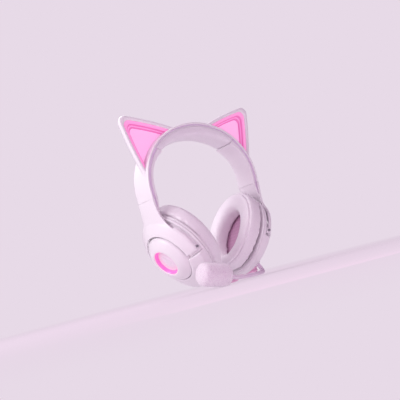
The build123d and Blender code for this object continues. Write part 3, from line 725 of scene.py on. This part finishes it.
def build_ears():
    """Both ears: a rounded rim shell and the stepped lit panel inside it."""
    for side in SIDES:
        shell = new_piece(f"{side}_ear", *grid(ear_rows(side, EAR_SHELL_PROFILE)),
                          [materials["shell_white"]])
        settle(shell, "headband", "shell_white", f"{side}_ear_shell")
        rows = ear_rows(side, EAR_GLOW_PROFILE)
        glow = new_piece(f"{side}_ear_glow", *grid(rows),
                         [ear_glow_step_shaded, ear_glow_slope_half_shaded, ear_glow_face_lit])
        paint_rows(glow, EAR_GLOW_BANDS, len(rows[0]))
        settle(glow, "headband", "pink_glow", f"{side}_ear_glow_panel")


# ---------------------------------------------------------------- yokes
YOKE_RIM = 43.0
YOKE_RIM_OUT = 9.5
YOKE_HALF_TURN = 93.8
YOKE_WALL = 2.4
YOKE_COLLAR = 30.6
YOKE_TAPER = 2.4
YOKE_EDGE = 0.7
YOKE_COLUMNS = 181
TRUNK_REACH = 27.0
TRUNK_FLARE = 3.2
ARM_TOP = BAND_END_Z - 0.06
ARM_OUTER_TOP = 77.35
ARM_CROWN = 0.5
ARM_SWEEP = 1.6
ARM_BULGE = 0.27
ARM_STEPS = 31
ARM_LOW = 84.0
ARM_INNER = ((84.0, 74.0), (86.0, 74.1), (90.5, 73.1), (95.5, 71.5), (101.0, 70.2), (108.0, 69.55))
YOKE_PROFILE = [(30.6, 15.6), (30.7, 17.2), (31.3, 17.75), (33.0, 16.95), (35.5, 15.3), (38.0, 13.55),
                (40.2, 11.9), (41.9, 10.6)]
YOKE_LIP = [(43.0, 8.4), (43.05, 7.6), (42.7, 7.0), (41.6, 6.9), (40.7, 7.1)]


def ring_point(angle, radius, out):
    """Point of the half ring, whose rim draws in toward both ends."""
    turn = radians(angle)
    late = np.clip((abs(angle) - 35.0) / 50.0, 0.0, 1.0)
    radius -= YOKE_TAPER * late ** 2 * (3 - 2 * late) * (radius - YOKE_COLLAR) / (YOKE_RIM - YOKE_COLLAR)
    return cup_points(np.array(radius * sin(turn)), np.array(radius * cos(turn)), np.array(out))


def trunk_point(rim, share):
    """Point on the arm's outer face: share 0 is the ring's rim, 1 the arm's top."""
    sideways = rim[1] * BAND_HALF_DEPTH / TRUNK_REACH
    middle = 1 - (sideways / BAND_HALF_DEPTH) ** 2
    spread = (1 - share) ** TRUNK_FLARE
    top = ARM_OUTER_TOP - ARM_CROWN * (1 - middle)
    x = rim[0] + (top - rim[0]) * (1 - (1 - share) ** ARM_SWEEP) + ARM_BULGE * sin(pi * share) * middle
    return np.array([x, sideways + (rim[1] - sideways) * spread, rim[2] + (ARM_TOP - rim[2]) * share])


def strip_faces(above, below):
    """Faces between two lines of point numbers of one length."""
    return [(a, b, d, c) for a, b, c, d in zip(above, above[1:], below, below[1:])]


def yoke_mesh():
    """Outer face of a half ring with the arm growing out of its rim like a trunk."""
    angles = np.linspace(-YOKE_HALF_TURN, YOKE_HALF_TURN, YOKE_COLUMNS)
    rims = [ring_point(angle, YOKE_RIM - 0.35, YOKE_RIM_OUT + 0.05) for angle in angles]
    rows = [[ring_point(angle, r, z) for angle in angles] for r, z in smooth_profile(YOKE_PROFILE, 3)]
    rows.append(rims)
    trunk = [j for j, rim in enumerate(rims) if abs(rim[1]) <= TRUNK_REACH]
    points, faces = [], []

    def add_line(places):
        points.extend(places)
        return list(range(len(points) - len(places), len(points)))

    lines = [add_line(row) for row in rows]
    for above, below in zip(lines, lines[1:]):
        faces += strip_faces(above, below)
    last = [lines[-1][j] for j in trunk]
    for share in np.linspace(0.0, 1.0, ARM_STEPS)[1:]:
        grown = add_line([trunk_point(rims[j], share) for j in trunk])
        faces += strip_faces(last, grown)
        last = grown
    edge = lines[-1]
    for r, z in YOKE_LIP:
        lip = add_line([ring_point(angle, r, z) for angle in angles])
        for run in (slice(None, trunk[0] + 1), slice(trunk[-1], None)):
            faces += strip_faces(edge[run], lip[run])
        edge = lip
    return used_only(points, faces)


def yoke_sheet(side):
    """The yoke's shell, thickened inward and softened along its edges."""
    points, faces = yoke_mesh()
    piece = new_piece(f"{side}_yoke", to_side(np.array(points), side), faces, [materials["shell_white"]])
    wall = piece.modifiers.new("Wall", "SOLIDIFY")
    wall.thickness = YOKE_WALL * MM
    wall.offset = 1.0 if outward_is_in(piece) else -1.0
    soft = piece.modifiers.new("Rounded", "BEVEL")
    soft.width = YOKE_EDGE * MM
    soft.segments = 3
    soft.limit_method = "ANGLE"
    soft.angle_limit = radians(50.0)
    bake_modifiers(piece)
    settle(piece, f"{side}_yoke", "shell_white", f"{side}_yoke_shell")


def used_only(points, faces):
    """Drop points that no face uses."""
    used = sorted({index for face in faces for index in face})
    new_index = {old: new for new, old in enumerate(used)}
    return [points[i] for i in used], [tuple(new_index[i] for i in face) for face in faces]


def outward_is_in(piece):
    """True where the face normals of an open sheet point toward the cup's axis."""
    total = 0.0
    sign = 1.0 if piece.data.vertices[0].co.x > 0 else -1.0
    for face in piece.data.polygons:
        total += face.area * sign * face.normal.x
    return total < 0


def arm_outer(z):
    """Outer X of the arm beside its front edge."""
    share = np.clip((z - ARM_LOW) / (ARM_TOP - ARM_LOW), 0.0, 1.0)
    return 75.4 + (ARM_OUTER_TOP - ARM_CROWN - 75.4) * (1 - (1 - share) ** ARM_SWEEP)


def arm_inner(z):
    """Inner X of the arm: full depth at the band, thinning to the sheet above the ring."""
    return np.interp(z, *zip(*ARM_INNER))


def arm_filler(side, name, near, far, half_width, slot, *nodes):
    """Slab inside the arm between two shares of the way from its outer face to its inner one."""
    rows = []
    for z in np.linspace(84.5, ARM_TOP, 26):
        outer = arm_outer(z) - YOKE_WALL + 0.1
        thickness = max(outer - arm_inner(z), 0.25)
        high = outer - near * thickness
        low = outer - far * thickness
        flare = 1.0 + 0.25 * max(0.0, (94.0 - z) / 10.0) ** 2
        radius = min(0.9, 0.45 * (high - low))
        loop = rounded_loop(low, high, half_width * flare, radius, steps=3)
        rows.append(to_side(np.array([(x, y, z) for x, y in loop]), side))
    piece = new_piece(f"{side}_{name}", *grid(rows, fill_ends=True), [materials[slot]])
    return settle(piece, f"{side}_yoke", slot, *nodes)


def build_yokes():
    """Shell, inner lining, recessed core and pivot tabs of both yokes."""
    for side in SIDES:
        yoke_sheet(side)
        # lavender core in the groove: its own tint plus painted shade of the recess
        arm_filler(side, "arm_core", 0.0, 0.56, 13.6, "trim_lavender", f"{side}_yoke_trim")
        arm_filler(side, "arm_liner", 0.52, 1.0, 14.7, "liner_white")
        tabs(side)


def tabs(side):
    """Flat ends of the half ring that carry the pivot pins."""
    for number, way in enumerate((-1.0, 1.0)):
        rows = []
        for across in np.linspace(38.2, YOKE_RIM - YOKE_TAPER - 0.2, 4):
            loop = rounded_loop(-3.2, 3.4, 2.0, 0.7, steps=3)
            points = [cup_points(np.array(way * across), np.array(u), np.array(6.8 + z))
                      for u, z in loop]
            rows.append(to_side(np.array(points), side))
        piece = new_piece(f"{side}_tab_{number}", *grid(rows, fill_ends=True),
                          [materials["shell_white"]])
        settle(piece, f"{side}_yoke", "shell_white")


# ---------------------------------------------------------------- cup shells
CAP_PROFILE = [(28.2, 12.8), (28.45, 14.5), (28.5, 16.2), (28.25, 17.6), (27.5, 19.0), (26.3, 20.15),
               (24.8, 21.35), (23.1, 22.5), (21.3, 23.5), (19.6, 24.3), (17.9, 24.85), (16.4, 25.15),
               (15.6, 25.1), (15.15, 24.6), (15.1, 22.0), (15.1, 18.9)]
LIGHT_RING_PROFILE = [(15.08, 24.3), (14.8, 24.4), (14.4, 24.1), (13.9, 22.4), (13.55, 20.6),
                      (13.5, 19.0)]
DISC_PROFILE = [(13.45, 19.0), (13.45, 20.4), (13.2, 20.8), (12.7, 21.0), (11.0, 21.1), (10.7, 21.0),
                (10.3, 21.1), (7.0, 21.3), (3.5, 21.38), (0.05, 21.4)]


def cup_lathe(side, name, profile, look, slot, node):
    rows = [to_side(row, side) for row in lathe(profile, 0.0, 0.0)]
    piece = new_piece(f"{side}_{name}", *grid(rows), [look])
    return settle(piece, f"{side}_cup", slot, f"{side}_{node}")


def oval_rows(profile, side, drop=RING_DROP, steps=140):
    """Loops of an oval on the cup; profile is (half depth, half height, outward)."""
    angles = np.linspace(0.0, 2.0 * pi, steps, endpoint=False)
    return [to_side(cup_points(a * np.sin(angles), drop + b * np.cos(angles), z), side)
            for a, b, z in profile]


def ridged_plate(side):
    """Speaker plate whose edge shows three fine ridges beside the cushion."""
    profile = [(18.0, 25.0, -2.2)]
    reach = (42.4, 47.9)
    for inset, z in ((1.4, -2.3), (0.35, -2.25), (0.05, -2.1), (0.0, -1.95), (0.8, -1.75),
                     (0.85, -1.6), (0.05, -1.45), (0.0, -1.25), (0.05, -1.1), (0.85, -0.95),
                     (0.8, -0.8), (0.05, -0.65), (0.0, -0.5), (0.1, -0.3), (0.6, -0.2), (3.0, -0.2)):
        profile.append((reach[0] - inset, reach[1] - inset, z))
    profile.append((18.0, 25.0, -0.4))
    rows = oval_rows(profile, side)
    piece = new_piece(f"{side}_plate", *grid(rows, close_rows=True), [materials["shell_white"]])
    return settle(piece, f"{side}_cup", "shell_white", f"{side}_speaker_plate")


def build_cups():
    for side in SIDES:
        housing = soften(f"{side}_cup_housing", f"{side}_housing", materials["shell_white"], 0.75, 4)
        settle(housing, f"{side}_cup", "shell_white", f"{side}_cup_housing")
        cup_lathe(side, "cap", CAP_PROFILE, materials["shell_white"], "shell_white", "cup_cap")
        cup_lathe(side, "glow_ring", LIGHT_RING_PROFILE, ring_glow, "pink_glow", "light_ring")
        cup_lathe(side, "disc", DISC_PROFILE, materials["disc_white"], "disc_white", "center_disc")
        ridged_plate(side)


# ---------------------------------------------------------------- cushions
CUSHION_MIDDLE = (30.3, 38.1)
CUSHION_CENTER = -1.4
CUSHION_MID_Z = -13.6
CUSHION_VOXEL = 3.6
CUSHION_SHRINK = 1.2
CUSHION_PRESSURE = 4.0
CUSHION_TRAVEL = 3.0
SEAM_ANGLE = 38.0
SEAM_DEPTH = 1.3
SEAM_WIDTH = 1.0
SWELL_DEPTH = 0.35
SWELL_WIDTH = 3.2
PUCKER_COUNT = 60.0
PUCKER_DEPTH = 0.06


def shrunken_copy(node, name, voxel, shrink):
    """Even mesh of a CAD soft solid, drawn in a little along its normals."""
    piece = even_copy(node, name, voxel)
    bake_modifiers(piece)
    normals = np.empty(len(piece.data.vertices) * 3)
    piece.data.vertices.foreach_get("normal", normals)
    set_vertices(piece, vertex_array(piece) - shrink * normals.reshape(-1, 3))
    return piece


def cushion_section(points):
    """Sideways and toward-face places of cushion points within the ring's section."""
    back, up, out = cup_coords(points)
    up = up - CUSHION_CENTER
    share = np.sqrt((back / CUSHION_MIDDLE[0]) ** 2 + (up / CUSHION_MIDDLE[1]) ** 2)
    reach = np.sqrt(back ** 2 + up ** 2)
    return (1 - 1 / share) * reach, CUSHION_MID_Z - out, back / reach, up / reach


def seam_cushion(piece):
    """Press the seam between face and side into the cushion, with soft puckers along it."""
    points = vertex_array(piece)
    outward, faceward, back_share, up_share = cushion_section(points)
    size = np.sqrt(outward ** 2 + faceward ** 2)
    angle = np.degrees(np.arctan2(faceward, outward))
    away = radians(1.0) * (angle - SEAM_ANGLE) * size
    around = np.arctan2(back_share, up_share)
    pucker = 1.0 + PUCKER_DEPTH * np.sin(around * PUCKER_COUNT)
    depth = (groove(away, SEAM_DEPTH, SEAM_WIDTH) * pucker
             + groove(away, SWELL_DEPTH, SWELL_WIDTH))
    inward = np.stack([-outward / size, -faceward / size])
    move = (inward[0] * depth)[:, None] * (back_share[:, None] * CUP_BACK + up_share[:, None] * CUP_UP)
    move -= (inward[1] * depth)[:, None] * CUP_OUT
    set_vertices(piece, points + move)


def build_cushions():
    first = shrunken_copy("left_ear_cushion", "left_cushion", CUSHION_VOXEL, CUSHION_SHRINK)
    inflate(first, CUSHION_PRESSURE, CUSHION_TRAVEL)
    refine(first, 2)
    seam_cushion(first)
    first.data.materials.clear()
    first.data.materials.append(materials["leatherette"])
    second = bpy.data.objects.new("right_cushion", first.data.copy())
    bpy.context.scene.collection.objects.link(second)
    set_vertices(second, to_side(vertex_array(second), "right"))
    second.data.flip_normals()
    settle(first, "left_cup", "leatherette", "left_ear_cushion")
    settle(second, "right_cup", "leatherette", "right_ear_cushion")


# ---------------------------------------------------------------- microphone
BOOM_ROOT = joint_place("boom_swing")
BOOM_OUT = -np.array(joints["boom_swing"]["axis"])
BOOM_BEND = joint_place("mic_bend")
BOOM_RUN = np.array([-0.97, -0.23, 0.05])
MIC_CENTER = np.array([-47.5, -47.5, 14.2])
MIC_AXIS = np.array([-0.955, 0.05, 0.25]) / np.linalg.norm([-0.955, 0.05, 0.25])
BOOM_HIDDEN = 3.2
BOOM_THICKNESS = 2.25
STRAIGHT_REACH = 3.3
MIC_BACK = 10.5
BOOM_WAY = [(44.6, -16.8, 7.2), (41.0, -22.0, 4.3), (31.5, -29.0, 3.9), (17.0, -36.0, 3.9)]


def build_boom():
    """One sleeve over both gooseneck halves, running straight through the bend point between boom and microphone
    head.
    """
    start = BOOM_ROOT + BOOM_OUT * BOOM_HIDDEN
    mic_back = MIC_CENTER - MIC_AXIS * MIC_BACK
    marks = [start, start + BOOM_OUT * 2, *map(np.array, BOOM_WAY),
             BOOM_BEND - BOOM_RUN * STRAIGHT_REACH, BOOM_BEND + BOOM_RUN * STRAIGHT_REACH,
             np.array([-16.0, -44.8, 5.6]), mic_back - MIC_AXIS * 2, mic_back]
    path = smooth_profile(marks, 16)
    sleeve = new_piece("boom_sleeve", *grid(tube(path, BOOM_THICKNESS), fill_ends=True),
                       [materials["boom_rubber"]])
    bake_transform(sleeve)
    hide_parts("lower_gooseneck", "upper_gooseneck")


FOAM_PROFILE = [(-18.9, 0.05), (-18.9, 3.0), (-18.6, 6.0), (-17.7, 8.6), (-16.2, 10.6),
                (-13.8, 11.9), (-10.5, 12.35), (0.0, 12.45), (10.5, 12.35), (13.8, 11.9),
                (16.2, 10.6), (17.7, 8.6), (18.6, 6.0), (18.9, 3.0), (18.9, 0.05)]


def build_windscreen():
    """Foam ball over the microphone, its skin slightly lumpy."""
    profile = smooth_profile(FOAM_PROFILE, 5)
    across = np.cross(MIC_AXIS, [0.0, 0.0, 1.0])
    across /= np.linalg.norm(across)
    upward = np.cross(across, MIC_AXIS)
    angles = np.linspace(0.0, 2.0 * pi, 96, endpoint=False)
    ring = np.cos(angles)[:, None] * across + np.sin(angles)[:, None] * upward
    rows = []
    for along, radius in profile:
        lumps = 0.12 * np.sin(angles * 7 + along) + 0.1 * np.sin(angles * 13 - along * 1.7)
        share = min(1.0, radius / 6.0)
        rows.append(MIC_CENTER + along * MIC_AXIS + (radius + share * lumps)[:, None] * ring)
    piece = new_piece("mic_foam", *grid(rows), [materials["foam"]])
    settle(piece, "mic_head", "foam", "windscreen")


# ---------------------------------------------------------------- cable fittings
RELIEF_START = np.array([29.5, -3.0, 11.5])
RELIEF_OUT = np.array([-0.42, 0.62, -0.66]) / np.linalg.norm([-0.42, 0.62, -0.66])
RELIEF_LENGTH = 11.5
RELIEF_RADIUS = 2.9
RELIEF_TAPER = 0.8
RIB_PITCH = 1.9
RIB_HEIGHT = 0.22


def build_strain_relief():
    """Tapered sleeve with bending ribs where the cable leaves the left cup."""
    marks, radii = [], []
    for along in np.linspace(0.0, RELIEF_LENGTH, 70):
        taper = RELIEF_RADIUS - RELIEF_TAPER * along / RELIEF_LENGTH
        ribbed = 1.5 < along < RELIEF_LENGTH - 0.7
        rib = RIB_HEIGHT * sin(along * 2 * pi / RIB_PITCH) if ribbed else 0.1
        marks.append(RELIEF_START + RELIEF_OUT * along)
        radii.append(taper - 0.1 + rib)
    piece = new_piece("cable_relief", *grid(tube(marks, np.array(radii)), fill_ends=True),
                      [materials["pink_rubber"]])
    settle(piece, "left_cup", "pink_rubber", "strain_relief")


def build_plug():
    """Rounded grip of the plug."""
    plug = soften("usb_plug_grip", "plug_grip", materials["pink_rubber"], 0.5, 3)
    settle(plug, "left_cup", "pink_rubber", "usb_plug_grip")


# ---------------------------------------------------------------- studio
CAMERA_PLACE = (-481.1, -613.6, 15.5)
CAMERA_TARGET = (-4.2, 0.0, 100.4)
CAMERA_ROLL = -14.5
CAMERA_LENS = 61.7


def aim(thing, place, target, roll=0.0):
    """Put a camera or lamp at a place, looking at the target."""
    place, target = Vector(place) * MM, Vector(target) * MM
    turn = (target - place).to_track_quat("-Z", "Y").to_matrix().to_4x4()
    thing.matrix_world = Matrix.Translation(place) @ turn @ Matrix.Rotation(radians(roll), 4, "Z")


def add_camera():
    camera = bpy.data.objects.new("camera", bpy.data.cameras.new("camera"))
    camera.data.lens = CAMERA_LENS
    camera.data.clip_start = 0.01
    bpy.context.scene.collection.objects.link(camera)
    aim(camera, CAMERA_PLACE, CAMERA_TARGET, CAMERA_ROLL)
    bpy.context.scene.camera = camera


def add_light(name, place, target, size, energy, color):
    """Square soft box."""
    light = bpy.data.lights.new(name, "AREA")
    light.size = size * MM
    light.energy = energy
    light.color = color
    holder = bpy.data.objects.new(name, light)
    bpy.context.scene.collection.objects.link(holder)
    aim(holder, place, target)


BACKDROP = (0.80, 0.70, 0.80)
AMBIENT = (0.25, 0.14, 0.24)
FLOOR_BASE = (0.80, 0.66, 0.78)


# Name, place, target, size, energy and colour of each lamp
LIGHTS = (
    ("key", (-660, 60, 400), (0, 0, 90), 400, 3.0, (1.0, 0.99, 1.0)),
    ("top", (-60, 160, 660), (0, 0, 120), 380, 2.4, (1.0, 0.98, 1.0)),
    ("fill", (-120, -640, 300), (0, 0, 110), 420, 0.9, (1.0, 0.93, 1.0)),
    ("under", (-190, -330, 22), (-20, 0, 60), 180, 0.16, (1.0, 0.35, 0.70)),
)


def add_floor():
    """Pale floor that fades into the backdrop far from the object."""
    mesh = bpy.data.meshes.new("floor")
    work = bmesh.new()
    bmesh.ops.create_circle(work, cap_ends=True, segments=96, radius=12.0)
    work.to_mesh(mesh)
    work.free()
    floor = bpy.data.objects.new("floor", mesh)
    bpy.context.scene.collection.objects.link(floor)
    look = Surface("floor_paint", FLOOR_BASE, 0.9)
    look.tint(look.remap(look.noise(3.0), 0.4, 0.6, 0.0, 0.15), tuple(0.96 * part for part in FLOOR_BASE))
    look.set(Specular_IOR_Level=0.0)
    distance = look.tree.nodes.new("ShaderNodeVectorMath")
    distance.operation = "LENGTH"
    look.link(look.coords, distance.inputs[0])
    far = look.remap(distance.outputs["Value"], 0.18, 0.6, 0.7, 1.0)
    backdrop = look.tree.nodes.new("ShaderNodeEmission")
    backdrop.inputs["Color"].default_value = (*BACKDROP, 1.0)
    mix = look.tree.nodes.new("ShaderNodeMixShader")
    look.link(far, mix.inputs["Fac"])
    look.link(look.shader.outputs["BSDF"], mix.inputs[1])
    look.link(backdrop.outputs["Emission"], mix.inputs[2])
    look.link(mix.outputs["Shader"], look.tree.nodes["Material Output"].inputs["Surface"])
    mesh.materials.append(look.material)


def add_studio():
    """Pale backdrop for the camera, dimmer light from all around, floor and lamps."""
    world = bpy.data.worlds.new("studio")
    bpy.context.scene.world = world
    world.use_nodes = True
    tree = world.node_tree
    paths = tree.nodes.new("ShaderNodeLightPath")
    seen = tree.nodes.new("ShaderNodeMix")
    seen.data_type = "RGBA"
    seen.inputs["A"].default_value = (*AMBIENT, 1.0)
    seen.inputs["B"].default_value = (*BACKDROP, 1.0)
    tree.links.new(paths.outputs["Is Camera Ray"], seen.inputs["Factor"])
    tree.links.new(seen.outputs["Result"], tree.nodes["Background"].inputs["Color"])
    add_floor()
    for light in LIGHTS:
        add_light(*light)
    bpy.context.scene.view_settings.view_transform = "Standard"


dress_cad_nodes()
build_shell()
build_liner()
build_ears()
build_yokes()
build_cups()
build_cushions()
build_pad()
build_boom()
build_windscreen()
build_strain_relief()
build_plug()
add_studio()
add_camera()
